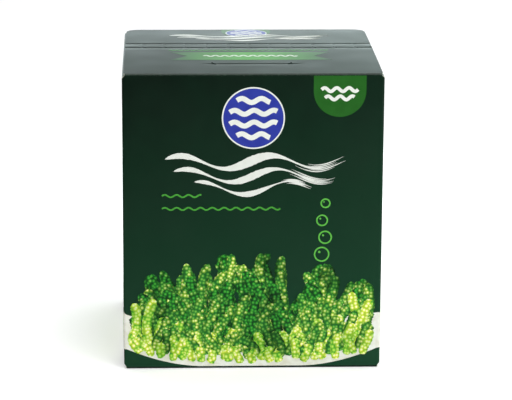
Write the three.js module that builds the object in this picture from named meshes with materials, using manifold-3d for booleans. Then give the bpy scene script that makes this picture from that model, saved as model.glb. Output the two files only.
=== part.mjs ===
// A sealed folding carton of coated board with a zip tear strip and a re-closing tongue,
// holding five film sachets. Millimetres, +Z up, front wall facing -Y.
// The origin is at the middle of the footprint, on the surface that the carton stands on.

import * as THREE from 'three';
import { mergeVertices } from 'three/addons/utils/BufferGeometryUtils.js';
import Module from 'manifold-3d';

// ---- Driving dimensions ----------------------------------------------------------------------
const WIDTH = 112;             // X, outside the side walls
const DEPTH = 102;             // Y, outside the front and back walls
const HEIGHT = 131.5;          // Z, from the resting face to the top panel
const BOARD = 0.5;             // thickness of the board
const GLUE = 0.1;              // adhesive film between two glued boards
const CORNER = 0.9;            // outside radius of the sleeve's upright folds
const FOLD_GAP = 0.4;          // how far a wall stops short of the flap folded over it
const FLAP_INSET = 0.8;        // how far a cut flap edge stays inside the wall it passes

const SEAM_WIDTH = 15;         // the glued seam strip inside the back wall

// The outer top flap is cut into a front part, the tear strip and a rear part.
const STRIP_FRONT = 4.9;       // Y of the front row of cuts
const STRIP_BACK = 14.2;       // Y of the back row of cuts
const CUT_GAP = 0.3;           // width of a cut row
const CUT_PITCH = 9.5;         // from hook to hook
const CUT_START = 7.7;         // from the left end of the strip to the first hook
const HOOK_DEPTH = 2.4;        // how far a hook reaches into the strip
const HOOK_LENGTH = 1.4;       // length of the hook along the row
const REAR_CORNER = 5;         // radius of the free corners at the back

const SLIT_STRAIGHT = 28;      // straight middle of the lock slit
const SLIT_Y = -31.3;          // Y of the straight middle
const SLIT_BEND = 3.2;         // radius of the ends, which turn back towards the strip
const SLIT_WIDTH = 0.6;

const INNER_FRONT_Y = 7.6;     // front edge of the inner flap, just behind the front row of cuts
const INNER_INSET = 1.1;       // how far its ends stay inside the side walls
const TONGUE_WIDTH = 32;
const TONGUE_END_Y = -39.5;    // far end of the tongue, past the slit
const TONGUE_CORNER = 9;
const TONGUE_GAP = 0.3;        // gap between the tongue and the flap it grows from

const DUST_LENGTH = 36;        // from the side fold to the free edge
const DUST_SIDE_GAP = 2;       // clear of the front and back walls at the fold
const DUST_TAPER = THREE.MathUtils.degToRad(28);
const DUST_CORNER = 4;
const DUST_CLEAR = 0.2;        // the dust flaps lie loose under the inner flap

const BOTTOM_INNER_LENGTH = 68;
const BOTTOM_DUST_LENGTH = 38;

const SACHET_COUNT = 5;
const SACHET_WIDTH = 100;
const SACHET_HEIGHT = 118;
const SACHET_THICK = 17.5;     // at the middle of its belly
const SACHET_SEAL = 8;         // flat sealed rim
const SACHET_FILM = 0.6;       // thickness of the sealed rim
const SACHET_PITCH = 19.2;
const SACHET_FLOOR_GAP = 0.3;

const CUTTER = 3;              // how far a cutting tool reaches past what it cuts

// ---- Levels of the stacked flaps -------------------------------------------------------------
const OUTER_TOP = HEIGHT;
const INNER_TOP = OUTER_TOP - BOARD - GLUE;
const DUST_TOP = INNER_TOP - BOARD - DUST_CLEAR;
const BOTTOM_INNER_Z = BOARD + GLUE;
const BOTTOM_DUST_Z = BOTTOM_INNER_Z + BOARD + GLUE;

const FRONT_Y = -DEPTH / 2;
const BACK_Y = DEPTH / 2;
const SIDE_X = WIDTH / 2;
const FLAP_X = SIDE_X - FLAP_INSET;
const SACHET_FLOOR = BOTTOM_DUST_Z + BOARD + SACHET_FLOOR_GAP;

// ---- Materials -------------------------------------------------------------------------------
const printedBoard = new THREE.MeshStandardMaterial({ color: 0x16301f, roughness: 0.42, metalness: 0 });
const topBoard = new THREE.MeshStandardMaterial({ color: 0x1b3a26, roughness: 0.42, metalness: 0 });
const plainBoard = new THREE.MeshStandardMaterial({ color: 0xc9c6bb, roughness: 0.8, metalness: 0 });
const clearFilm = new THREE.MeshStandardMaterial({ color: 0x7fa24a, roughness: 0.25, metalness: 0 });

// ---- Joining and cutting ---------------------------------------------------------------------
const wasm = await Module();
wasm.setup();

function toSolid(geometry) {
  const bare = geometry.clone();
  bare.deleteAttribute('normal');
  bare.deleteAttribute('uv');
  const merged = mergeVertices(bare, 1e-4);
  return new wasm.Manifold(new wasm.Mesh({
    numProp: 3,
    vertProperties: new Float32Array(merged.attributes.position.array),
    triVerts: new Uint32Array(merged.index.array),
  }));
}

function toGeometry(solid) {
  const mesh = solid.getMesh();
  const geometry = new THREE.BufferGeometry();
  geometry.setAttribute('position', new THREE.BufferAttribute(mesh.vertProperties, 3));
  geometry.setIndex(new THREE.BufferAttribute(mesh.triVerts, 1));
  geometry.computeVertexNormals();
  return geometry;
}

// ---- Flat board ------------------------------------------------------------------------------

/** A sheet cut to `shape` in plan, from height z up by the board's thickness. */
function sheet(shape, z, thickness = BOARD) {
  const geometry = new THREE.ExtrudeGeometry(shape, {
    depth: thickness,
    bevelEnabled: false,
    curveSegments: 6,
  });
  geometry.translate(0, 0, z);
  return toSolid(geometry);
}

/** A bar whose section lies across X: `section` lists [y, z], and it spans x from x0 to x1. */
function barAlongX(section, x0, x1) {
  const shape = new THREE.Shape(section.map(([y, z]) => new THREE.Vector2(y, z)));
  const geometry = new THREE.ExtrudeGeometry(shape, { depth: x1 - x0, bevelEnabled: false });
  geometry.applyMatrix4(new THREE.Matrix4().set(
    0, 0, 1, x0,
    1, 0, 0, 0,
    0, 1, 0, 0,
    0, 0, 0, 1,
  ));
  return toSolid(geometry);
}

/** The same bar turned to span y, with `section` listing [x, z]. */
function barAlongY(section, y0, y1) {
  const bar = barAlongX(section, y0, y1);
  const geometry = toGeometry(bar);
  geometry.applyMatrix4(new THREE.Matrix4().set(
    0, 1, 0, 0,
    1, 0, 0, 0,
    0, 0, 1, 0,
    0, 0, 0, 1,
  ));
  geometry.setIndex([...geometry.index.array].reverse());
  return toSolid(geometry);
}

/** A plan outline with some corners rounded: points are [x, y, radius]. */
function outline(points) {
  const shape = new THREE.Shape();
  points.forEach(([x, y, radius = 0], i) => {
    const here = new THREE.Vector2(x, y);
    const before = new THREE.Vector2(...points.at(i - 1).slice(0, 2));
    const after = new THREE.Vector2(...points[(i + 1) % points.length].slice(0, 2));
    const start = here.clone().add(before.sub(here).setLength(radius));
    const end = here.clone().add(after.sub(here).setLength(radius));
    if (i === 0) shape.moveTo(start.x, start.y);
    else shape.lineTo(start.x, start.y);
    if (radius > 0) shape.quadraticCurveTo(x, y, end.x, end.y);
  });
  shape.closePath();
  return shape;
}

/**
 * The wedge under a flap's fold. A flap and its wall meet in a 45 degree mitre whose outer corner
 * is the fold line, so that the flap can swing out without meeting the wall.
 * `outward` is the side the wall faces (-1 or +1) and `up` is +1 for a top flap, -1 for a bottom one.
 */
function mitreWedge(edge, level, outward, up) {
  const outside = edge + outward * CUTTER;
  const inside = edge - outward * CUTTER;
  return [
    [edge, level],
    [inside, level - up * CUTTER],
    [outside, level - up * CUTTER],
    [outside, level],
  ];
}

/**
 * What is cut off the top or bottom of a wall, to make room for the flap folded over it. It reaches
 * inwards past the rounded upright folds, so that no splinter is left in the corners.
 */
function wallTrim(edge, level, outward, up) {
  const depth = CORNER + GLUE;
  const fold = level - up * FOLD_GAP;
  const past = level + up * CUTTER;
  const outside = edge + outward * CUTTER;
  const inside = edge - outward * depth;
  return [
    [outside, fold],
    [edge, fold],
    [inside, fold - up * depth],
    [inside, past],
    [outside, past],
  ];
}

// ---- Sleeve ----------------------------------------------------------------------------------
function roundedRectangle(Path, halfX, halfY, radius) {
  const path = new Path();
  path.moveTo(-halfX + radius, -halfY);
  path.lineTo(halfX - radius, -halfY);
  path.absarc(halfX - radius, -halfY + radius, radius, -Math.PI / 2, 0);
  path.lineTo(halfX, halfY - radius);
  path.absarc(halfX - radius, halfY - radius, radius, 0, Math.PI / 2);
  path.lineTo(-halfX + radius, halfY);
  path.absarc(-halfX + radius, halfY - radius, radius, Math.PI / 2, Math.PI);
  path.lineTo(-halfX, -halfY + radius);
  path.absarc(-halfX + radius, -halfY + radius, radius, Math.PI, 1.5 * Math.PI);
  return path;
}

function makeSleeve() {
  const wall = roundedRectangle(THREE.Shape, SIDE_X, BACK_Y, CORNER);
  wall.holes.push(roundedRectangle(THREE.Path, SIDE_X - BOARD, BACK_Y - BOARD, CORNER - BOARD));
  let sleeve = sheet(wall, 0, HEIGHT);

  const seam = new THREE.Shape([
    new THREE.Vector2(-SIDE_X + BOARD, BACK_Y - 2 * BOARD),
    new THREE.Vector2(-SIDE_X + BOARD + SEAM_WIDTH, BACK_Y - 2 * BOARD),
    new THREE.Vector2(-SIDE_X + BOARD + SEAM_WIDTH, BACK_Y - BOARD / 2),
    new THREE.Vector2(-SIDE_X + BOARD, BACK_Y - BOARD / 2),
  ]);
  const seamTop = DUST_TOP - 2 * BOARD;
  sleeve = sleeve.add(sheet(seam, SACHET_FLOOR, seamTop - SACHET_FLOOR));

  const spanX = SIDE_X + CUTTER;
  const spanY = BACK_Y + CUTTER;
  const trims = [
    barAlongX(wallTrim(FRONT_Y, OUTER_TOP, -1, 1), -spanX, spanX),
    barAlongX(wallTrim(BACK_Y, INNER_TOP, 1, 1), -spanX, spanX),
    barAlongX(wallTrim(FRONT_Y, 0, -1, -1), -spanX, spanX),
    barAlongX(wallTrim(BACK_Y, BOTTOM_INNER_Z, 1, -1), -spanX, spanX),
  ];
  for (const side of [-1, 1]) {
    trims.push(barAlongY(wallTrim(side * SIDE_X, DUST_TOP, side, 1), -spanY, spanY));
    trims.push(barAlongY(wallTrim(side * SIDE_X, BOTTOM_DUST_Z, side, -1), -spanY, spanY));
  }
  for (const trim of trims) sleeve = sleeve.subtract(trim);
  return sleeve;
}

// ---- Outer top flap: front part, tear strip and rear part ---------------------------------------

/**
 * One row of hooked cuts as a line from left to right. Every CUT_PITCH the line dips towards the
 * strip and runs back out along the hook. `inward` is the direction of the strip, and `shift`
 * moves the whole line that way, to leave half of the cut's width.
 */
function cutRow(y, inward, shift) {
  const line = [[-FLAP_X, y + inward * shift]];
  for (let x = -FLAP_X + CUT_START; x < FLAP_X - HOOK_LENGTH; x += CUT_PITCH) {
    line.push([x, y + inward * shift]);
    line.push([x, y + inward * (shift + HOOK_DEPTH)]);
    line.push([x + HOOK_LENGTH, y + inward * shift]);
  }
  line.push([FLAP_X, y + inward * shift]);
  return line;
}

/** The slit that the tongue tucks into: a straight cut whose two ends turn back in quarter arcs. */
function lockSlit() {
  const half = SLIT_STRAIGHT / 2;
  const bendY = SLIT_Y + SLIT_BEND;
  const outer = SLIT_BEND + SLIT_WIDTH / 2;
  const inner = SLIT_BEND - SLIT_WIDTH / 2;
  const quarter = Math.PI / 2;
  const slit = new THREE.Path();
  slit.moveTo(-half - outer, bendY);
  slit.absarc(-half, bendY, outer, -2 * quarter, -quarter, false);
  slit.absarc(half, bendY, outer, -quarter, 0, false);
  slit.lineTo(half + inner, bendY);
  slit.absarc(half, bendY, inner, 0, -quarter, true);
  slit.absarc(-half, bendY, inner, -quarter, -2 * quarter, true);
  slit.closePath();
  return slit;
}

function makeFrontFlap() {
  const edge = cutRow(STRIP_FRONT, 1, -CUT_GAP / 2);
  const shape = outline([[-FLAP_X, FRONT_Y], [FLAP_X, FRONT_Y], ...edge.reverse()]);
  shape.holes.push(lockSlit());
  const wedge = barAlongX(mitreWedge(FRONT_Y, OUTER_TOP, -1, 1), -SIDE_X, SIDE_X);
  return sheet(shape, OUTER_TOP - BOARD).subtract(wedge);
}

function makeTearStrip() {
  const front = cutRow(STRIP_FRONT, 1, CUT_GAP / 2);
  const back = cutRow(STRIP_BACK, -1, CUT_GAP / 2);
  return sheet(outline([...front, ...back.reverse()]), OUTER_TOP - BOARD);
}

function makeRearPanel() {
  const edge = cutRow(STRIP_BACK, -1, -CUT_GAP / 2);
  const endY = BACK_Y - FLAP_INSET / 2;
  const corners = [[FLAP_X, endY, REAR_CORNER], [-FLAP_X, endY, REAR_CORNER]];
  return sheet(outline([...edge, ...corners]), OUTER_TOP - BOARD);
}

// ---- Inner top flap and its tongue ---------------------------------------------------------------
function makeInnerFlap() {
  const x = SIDE_X - INNER_INSET;
  const shape = outline([[-x, INNER_FRONT_Y, 1], [x, INNER_FRONT_Y, 1], [x, BACK_Y], [-x, BACK_Y]]);
  const wedge = barAlongX(mitreWedge(BACK_Y, INNER_TOP, 1, 1), -SIDE_X, SIDE_X);
  return sheet(shape, INNER_TOP - BOARD).subtract(wedge);
}

function makeTongue() {
  const x = TONGUE_WIDTH / 2;
  const root = INNER_FRONT_Y - TONGUE_GAP;
  const shape = outline([
    [-x, root],
    [-x, TONGUE_END_Y, TONGUE_CORNER],
    [x, TONGUE_END_Y, TONGUE_CORNER],
    [x, root],
  ]);
  return sheet(shape, INNER_TOP - BOARD);
}

// ---- Dust flaps ----------------------------------------------------------------------------------

/** A side flap that narrows towards its free edge. `side` is -1 for the left, +1 for the right. */
function makeDustFlap(side) {
  const foldY = BACK_Y - DUST_SIDE_GAP;
  const freeX = SIDE_X - DUST_LENGTH;
  const freeY = foldY - DUST_LENGTH * Math.tan(DUST_TAPER);
  const shape = outline([
    [side * SIDE_X, -foldY],
    [side * SIDE_X, foldY],
    [side * freeX, freeY, DUST_CORNER],
    [side * freeX, -freeY, DUST_CORNER],
  ]);
  const wedge = barAlongY(mitreWedge(side * SIDE_X, DUST_TOP, side, 1), -BACK_Y, BACK_Y);
  return sheet(shape, DUST_TOP - BOARD).subtract(wedge);
}

// ---- Glued bottom --------------------------------------------------------------------------------
function makeBottomOuterFlap() {
  const endY = BACK_Y - FLAP_INSET / 2;
  const shape = outline([[-FLAP_X, FRONT_Y], [FLAP_X, FRONT_Y], [FLAP_X, endY, 3], [-FLAP_X, endY, 3]]);
  const wedge = barAlongX(mitreWedge(FRONT_Y, 0, -1, -1), -SIDE_X, SIDE_X);
  return sheet(shape, 0).subtract(wedge);
}

function makeBottomInnerFlap() {
  const x = SIDE_X - INNER_INSET;
  const endY = BACK_Y - BOTTOM_INNER_LENGTH;
  const shape = outline([[-x, endY, 3], [x, endY, 3], [x, BACK_Y], [-x, BACK_Y]]);
  const wedge = barAlongX(mitreWedge(BACK_Y, BOTTOM_INNER_Z, 1, -1), -SIDE_X, SIDE_X);
  return sheet(shape, BOTTOM_INNER_Z).subtract(wedge);
}

function makeBottomDustFlap(side) {
  const foldY = BACK_Y - DUST_SIDE_GAP;
  const freeX = SIDE_X - BOTTOM_DUST_LENGTH;
  const shape = outline([
    [side * SIDE_X, -foldY],
    [side * SIDE_X, foldY],
    [side * freeX, foldY, DUST_CORNER],
    [side * freeX, -foldY, DUST_CORNER],
  ]);
  const wedge = barAlongY(mitreWedge(side * SIDE_X, BOTTOM_DUST_Z, side, -1), -BACK_Y, BACK_Y);
  return sheet(shape, BOTTOM_DUST_Z).subtract(wedge);
}

// ---- Film sachets --------------------------------------------------------------------------------

/** Half of the sachet's thickness at x across and z up, both measured from its middle. */
function sachetHalfThickness(x, z) {
  const across = Math.min(1, Math.abs(x) / (SACHET_WIDTH / 2 - SACHET_SEAL));
  const upright = Math.min(1, Math.abs(z) / (SACHET_HEIGHT / 2 - SACHET_SEAL));
  const belly = ((1 - across ** 3) * (1 - upright ** 4)) ** 0.6;
  return SACHET_FILM / 2 + (SACHET_THICK - SACHET_FILM) / 2 * belly;
}

/** A closed pillow: a rectangle with a flat sealed rim, raised on both faces. */
function makeSachet() {
  const columns = 14;
  const rows = 16;
  const geometry = new THREE.BoxGeometry(SACHET_WIDTH, 1, SACHET_HEIGHT, columns, 1, rows);
  const position = geometry.attributes.position;
  for (let i = 0; i < position.count; i += 1) {
    const x = position.getX(i);
    const z = position.getZ(i);
    position.setY(i, Math.sign(position.getY(i)) * sachetHalfThickness(x, z));
  }
  geometry.deleteAttribute('normal');
  geometry.deleteAttribute('uv');
  return mergeVertices(geometry, 1e-4);
}

// ---- Assembly ------------------------------------------------------------------------------------
const group = new THREE.Group();

function addPiece(name, geometry, material) {
  const mesh = new THREE.Mesh(geometry, material);
  mesh.name = name;
  group.add(mesh);
  return mesh;
}

addPiece('sleeve', toGeometry(makeSleeve()), printedBoard);
addPiece('front_flap', toGeometry(makeFrontFlap()), topBoard);
addPiece('tear_strip', toGeometry(makeTearStrip()), topBoard);
addPiece('rear_panel', toGeometry(makeRearPanel()), topBoard);
addPiece('inner_flap', toGeometry(makeInnerFlap()), plainBoard);
addPiece('closing_tongue', toGeometry(makeTongue()), plainBoard);
addPiece('dust_flap_left', toGeometry(makeDustFlap(-1)), plainBoard);
addPiece('dust_flap_right', toGeometry(makeDustFlap(1)), plainBoard);
addPiece('bottom_outer_flap', toGeometry(makeBottomOuterFlap()), printedBoard);
addPiece('bottom_inner_flap', toGeometry(makeBottomInnerFlap()), plainBoard);
addPiece('bottom_dust_flap_left', toGeometry(makeBottomDustFlap(-1)), plainBoard);
addPiece('bottom_dust_flap_right', toGeometry(makeBottomDustFlap(1)), plainBoard);

const sachetGeometry = makeSachet();
for (let i = 0; i < SACHET_COUNT; i += 1) {
  const sachet = addPiece(`sachet_${i + 1}`, sachetGeometry, clearFilm);
  const row = i - (SACHET_COUNT - 1) / 2;
  sachet.position.set(0, row * SACHET_PITCH, SACHET_FLOOR + SACHET_HEIGHT / 2);
}

export default group;
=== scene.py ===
"""Looks of a sealed folding carton of coated board, and of the film sachets of sea grapes in it.

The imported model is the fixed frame: metres, +Z up, front wall facing -Y. Sizes that the frame holds
are read from it. Sizes that only show here are in millimetres, and MM turns them to metres.
"""

import logging
import math
import random
from collections.abc import Callable, Iterable, Sequence
from dataclasses import dataclass
from enum import Enum

import bmesh
import bpy
from mathutils import Matrix, Vector


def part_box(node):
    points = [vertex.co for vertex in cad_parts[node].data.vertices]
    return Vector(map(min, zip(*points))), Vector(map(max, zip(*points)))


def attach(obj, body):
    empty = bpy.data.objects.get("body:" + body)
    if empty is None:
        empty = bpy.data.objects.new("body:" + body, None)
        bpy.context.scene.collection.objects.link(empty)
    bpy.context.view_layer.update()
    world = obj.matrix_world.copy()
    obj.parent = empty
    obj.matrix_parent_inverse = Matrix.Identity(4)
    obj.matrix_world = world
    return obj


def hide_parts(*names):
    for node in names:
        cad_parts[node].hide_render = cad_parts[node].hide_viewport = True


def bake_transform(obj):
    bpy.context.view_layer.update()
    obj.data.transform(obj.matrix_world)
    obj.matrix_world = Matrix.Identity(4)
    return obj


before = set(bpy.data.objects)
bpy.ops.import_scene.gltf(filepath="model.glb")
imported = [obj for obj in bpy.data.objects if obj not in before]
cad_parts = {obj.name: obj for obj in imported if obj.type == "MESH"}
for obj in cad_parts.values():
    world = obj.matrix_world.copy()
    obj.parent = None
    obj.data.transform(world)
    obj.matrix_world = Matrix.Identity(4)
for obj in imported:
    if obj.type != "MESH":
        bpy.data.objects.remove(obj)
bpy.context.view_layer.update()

MM = 0.001
SLICE = 8.0                    # mm between the cuts of a mesh that follows a bowed panel
SIDES = ((-1, "left"), (1, "right"))
DUST_HALF = 49.0               # mm, half of the length of the fold of a side flap
HALF_CUT = 0.15                # mm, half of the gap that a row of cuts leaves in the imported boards
FOLD_REACH = 0.9               # mm from a hinge line to where the bend of its fold starts
X, Y, Z = Vector((1, 0, 0)), Vector((0, 1, 0)), Vector((0, 0, 1))
log = logging.getLogger("carton")

Point = tuple[float, float]
Point3 = tuple[float, float, float]
Colour = tuple[float, float, float, float]
Socket = bpy.types.NodeSocket
Material = bpy.types.Material
BMesh = bmesh.types.BMesh


# ---- Materials --------------------------------------------------------------------------------------
def linear(code: str) -> Colour:
    """Turns an sRGB hex colour such as "#1a2b3c" into the linear colour that a socket takes."""
    shares = [int(code[i:i + 2], 16) / 255 for i in (1, 3, 5)]
    red, green, blue = (s / 12.92 if s <= 0.04045 else ((s + 0.055) / 1.055) ** 2.4 for s in shares)
    return red, green, blue, 1.0


class Recipe:
    """One material in the making, with short ways to add the nodes that the finishes share."""

    def __init__(self, name: str) -> None:
        """Starts an empty material."""
        self.material = bpy.data.materials.new(name)
        self.material.use_nodes = True
        self.tree = self.material.node_tree
        self.tree.nodes.clear()
        coordinates = self.add("TexCoord")
        self.place, self.along = coordinates.outputs["Object"], coordinates.outputs["UV"]

    def add(
        self, kind: str, links: dict[str | int, object] | None = None, **settings: object
    ) -> bpy.types.Node:
        """Adds one shader node.

        Args:
            kind: the node's type, without its "ShaderNode".
            links: for each input, by name or number, the output that feeds it or its constant value.
            settings: the node's own properties.

        Returns:
            The new node.
        """
        node = self.tree.nodes.new("ShaderNode" + kind)
        for key, value in settings.items():
            setattr(node, key, value)
        for key, value in (links or {}).items():
            if isinstance(value, Socket):
                self.tree.links.new(value, node.inputs[key])
            else:
                node.inputs[key].default_value = value
        return node

    def noise(self, size: float, detail: float, place: Socket | None = None, **more: float) -> Socket:
        """Returns a noise with patches of about that many millimetres."""
        inputs = {"Vector": place or self.place, "Scale": 1 / (size * MM), "Detail": detail, **more}
        return self.add("TexNoise", inputs).outputs["Fac"]

    def ramp(self, factor: Socket, stops: Sequence[tuple[float, str]]) -> Socket:
        """Returns the colour at a factor on a ramp, whose stops are places and sRGB hex colours."""
        node = self.add("ValToRGB", {"Fac": factor})
        elements = node.color_ramp.elements
        for element, (place, code) in zip(elements, (stops[0], stops[-1])):
            element.position, element.color = place, linear(code)
        for place, code in stops[1:-1]:
            elements.new(place).color = linear(code)
        return node.outputs["Color"]

    def span(self, value: Socket, start: float, end: float, low: float = 0.0, high: float = 1.0) -> Socket:
        """Turns the range from start to end into the one from low to high, and clamps the rest."""
        inputs = {"Value": value, "From Min": start, "From Max": end, "To Min": low, "To Max": high}
        return self.add("MapRange", inputs).outputs["Result"]

    def mix(self, share: Socket | float, first: object, second: object, blend: str = "MIX") -> Socket:
        """Returns the first colour with a share of the second one laid over it."""
        inputs = {0: share, 6: first, 7: second}
        return self.add("Mix", inputs, data_type="RGBA", blend_type=blend).outputs[2]

    def calculate(self, operation: str, *values: Socket, clamp: bool = False) -> Socket:
        """Returns what a Math node makes of some values."""
        node = self.add("Math", dict(enumerate(values)), operation=operation, use_clamp=clamp)
        return node.outputs["Value"]

    def bump(self, height: Socket, distance: float, strength: float = 1.0, **below: Socket) -> Socket:
        """Returns the normal of a relief of so many millimetres, over the relief below if there is one."""
        inputs = {"Height": height, "Distance": distance * MM, "Strength": strength, **below}
        return self.add("Bump", inputs).outputs["Normal"]

    def surface(self, shader: bpy.types.Node) -> Material:
        """Leads a shader to the output and returns the finished material."""
        self.add("OutputMaterial", {"Surface": shader.outputs[0]})
        return self.material

    def principled(self, inputs: dict[str, object]) -> Material:
        """Closes the material with a principled shader that takes these inputs."""
        return self.surface(self.add("BsdfPrincipled", inputs))


# ---- Finishes ---------------------------------------------------------------------------------------
@dataclass(frozen=True)
class LacquerCoat:
    """The water-based satin lacquer over all of the print, and the board's fibres under it.

    It gives soft reflections that break up slightly. The fibre bump is about twice as coarse as real
    board fibres, so that it shows.
    """

    fibre: float = 0.7         # mm, size of the fibre bumps
    fibre_height: float = 0.004
    wave: float = 22.0         # mm, size of the board's slow unevenness
    wave_height: float = 0.05
    smoothest: float = 0.28    # least and greatest roughness
    roughest: float = 0.40

    def over(self, recipe: Recipe, colour: Socket) -> Material:
        """Closes a material whose printed colour lies under the lacquer."""
        slow, fine = recipe.noise(self.wave, 1.0), recipe.noise(self.fibre, 2.0)
        uneven = recipe.bump(slow, self.wave_height)
        normal = recipe.bump(fine, self.fibre_height, Normal=uneven)
        rough = recipe.span(slow, 0.0, 1.0, self.smoothest, self.roughest)
        return recipe.principled({"Base Color": colour, "Roughness": rough, "IOR": 1.5, "Normal": normal})


LACQUER = LacquerCoat()


@dataclass(frozen=True)
class FloodPrint:
    """Offset ink flooding clay-coated board, under satin lacquer.

    The eye sees a deep colour with faint mottling, and paler flecks where a fold has cracked it. Where it
    is graded, the paler ink towards the lower right is painted light for the floor's bounce and the side
    light.
    """

    name: str
    ink: str
    mottled: str
    painted_light_ink: str | None = None     # painted light: a paler ink towards the lower right, if the print is graded
    painted_light_way: Point3 = (1.4, 0.0, -5.6)   # way in which the painted light ink takes over
    painted_light_span: Point = (-0.78, 0.02)
    mottle: float = 9.0        # mm, size of the mottling
    cracked: str = "#6f8a78"
    fleck: float = 1.3         # mm, size of the cracked flecks
    wear: float = 0.0          # 0 has no worn folds

    def build(self) -> Material:
        """Builds the material."""
        recipe = Recipe(self.name)
        colour = recipe.ramp(recipe.noise(self.mottle, 4.0), [(0.3, self.ink), (0.75, self.mottled)])
        # painted light: the ink pales towards the lower right, where more light falls
        if self.painted_light_ink:
            slope = recipe.add("VectorMath", {0: recipe.place, 1: self.painted_light_way}, operation="DOT_PRODUCT")
            share = recipe.span(slope.outputs["Value"], *self.painted_light_span)
            colour = recipe.mix(share, colour, linear(self.painted_light_ink))
        if self.wear:
            share = recipe.span(recipe.noise(self.fleck, 5.0), 0.5, 0.72, 0.0, self.wear)
            colour = recipe.mix(share, colour, linear(self.cracked))
        return LACQUER.over(recipe, colour)


@dataclass(frozen=True)
class SolidInk:
    """One spot ink under the same lacquer as the rest of the print, very slightly uneven."""

    name: str
    ink: str
    thin: str
    patch: float = 4.0         # mm, size of the uneven patches

    def build(self) -> Material:
        """Builds the material."""
        recipe = Recipe(self.name)
        patches = recipe.noise(self.patch, 3.0)
        return LACQUER.over(recipe, recipe.ramp(patches, [(0.35, self.ink), (0.8, self.thin)]))


@dataclass(frozen=True)
class FadingInk:
    """A spot ink that is screened out towards both ends of its shape, along X."""

    name: str
    middle: str
    end: str
    half_length: float         # mm, from full ink to the faintest

    def build(self) -> Material:
        """Builds the material."""
        recipe = Recipe(self.name)
        across = recipe.add("SeparateXYZ", {"Vector": recipe.place}).outputs["X"]
        share = recipe.span(recipe.calculate("ABSOLUTE", across), 0.0, self.half_length * MM)
        return LACQUER.over(recipe, recipe.ramp(share, [(0.15, self.middle), (1.0, self.end)]))


@dataclass(frozen=True)
class BeadPrint:
    """Four-colour print of small round bladders, on the strand's own UV map.

    One UV unit is one bladder. Each has a light spot, a clear green body and a dark rim. Some are
    yellower than others, and the strand darkens towards its two sides and in the depths of the picture.
    """

    name: str
    rim: str
    body: str
    light: str
    yellow_rim: str
    yellow_body: str
    yellow_light: str
    yellowness: Point          # from which to which draw a bladder turns from green to yellow
    shade: str
    glint: str = "#fbfbdc"
    half_rows: float = 1.5     # bladders from the strand's middle to its side
    patch: float = 12.0        # mm, size of the yellower patches
    depth: float = 17.0        # mm, size of the darker depths

    def build(self) -> Material:
        """Builds the material."""
        recipe = Recipe(self.name)
        cells = {"Vector": recipe.along, "Scale": 1.0, "Randomness": 0.72}
        bladders = recipe.add("TexVoronoi", cells, voronoi_dimensions="2D")
        reach = bladders.outputs["Distance"]
        green = recipe.ramp(reach, [(0.06, self.light), (0.34, self.body), (0.6, self.rim)])
        stops = [(0.17, self.yellow_light), (0.38, self.yellow_body), (0.6, self.yellow_rim)]
        yellow = recipe.ramp(reach, [(0.05, self.glint), *stops])
        draw = recipe.add("SeparateColor", {"Color": bladders.outputs["Color"]}).outputs["Red"]
        leaning = recipe.calculate("ADD", draw, recipe.noise(self.patch, 2.0))
        beads = recipe.mix(recipe.span(leaning, *self.yellowness), green, yellow)
        off = recipe.calculate("ABSOLUTE", recipe.add("SeparateXYZ", {"Vector": recipe.along}).outputs["Y"])
        edge = recipe.span(off, 0.5, self.half_rows, 0.0, 0.62)
        deep = recipe.span(recipe.noise(self.depth, 1.0), 0.5, 0.68, 0.0, 0.6)
        share = recipe.calculate("ADD", edge, deep, clamp=True)
        tone = recipe.ramp(share, [(0.0, "#ffffff"), (1.0, self.shade)])
        return LACQUER.over(recipe, recipe.mix(1.0, beads, tone, "MULTIPLY"))


@dataclass(frozen=True)
class UncoatedBoard:
    """The unprinted back of the board: grey-white pulp with short fibres and darker specks, quite matt."""

    name: str
    pulp: str = "#cdcac2"
    fibre: str = "#bfbbb1"
    speck: str = "#8f8672"
    fibre_size: float = 0.6    # mm across; they are about three times as long
    speck_pitch: float = 3.1

    def build(self) -> Material:
        """Builds the material."""
        recipe = Recipe(self.name)
        stretched = recipe.add("Mapping", {"Vector": recipe.place, "Scale": (0.35, 1.0, 1.0)})
        fibres = recipe.noise(self.fibre_size, 4.0, stretched.outputs["Vector"])
        specks = recipe.add("TexVoronoi", {"Vector": recipe.place, "Scale": 1 / (self.speck_pitch * MM)})
        pulp = recipe.ramp(fibres, [(0.3, self.fibre), (0.6, self.pulp)])
        colour = recipe.mix(recipe.span(specks.outputs["Distance"], 0.05, 0.09), linear(self.speck), pulp)
        normal = recipe.bump(fibres, 0.02)
        return recipe.principled({"Base Color": colour, "Roughness": 0.85, "IOR": 1.5, "Normal": normal})


@dataclass(frozen=True)
class CutEdge:
    """A die-cut edge of the board: the pale core in thin layers, matt and a little fuzzy."""

    name: str
    dark: str = "#b9c0b0"
    pale: str = "#e2e3d8"
    fuzz: float = 0.5          # mm, size of the fuzz

    def build(self) -> Material:
        """Builds the material."""
        recipe = Recipe(self.name)
        fuzz = recipe.noise(self.fuzz, 3.0)
        colour, normal = recipe.ramp(fuzz, [(0.3, self.dark), (0.7, self.pale)]), recipe.bump(fuzz, 0.02)
        return recipe.principled({"Base Color": colour, "Roughness": 0.8, "IOR": 1.5, "Normal": normal})


@dataclass(frozen=True)
class PouchFilm:
    """Clear nylon and polyethylene film: thin, glossy and crinkled, with a slight milky haze."""

    name: str
    crinkle: float = 9.0       # mm, size of the crinkles
    opacity: float = 0.13

    def build(self) -> Material:
        """Builds the material."""
        recipe = Recipe(self.name)
        crinkle = recipe.noise(self.crinkle, 3.0, Distortion=1.4)
        look = {"Roughness": 0.1, "IOR": 1.52, "Specular IOR Level": 0.9, "Alpha": self.opacity}
        haze = recipe.ramp(crinkle, [(0.3, "#dfe8dc"), (0.7, "#f4f7f2")])
        return recipe.principled({**look, "Base Color": haze, "Normal": recipe.bump(crinkle, 0.9, 0.7)})


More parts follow.
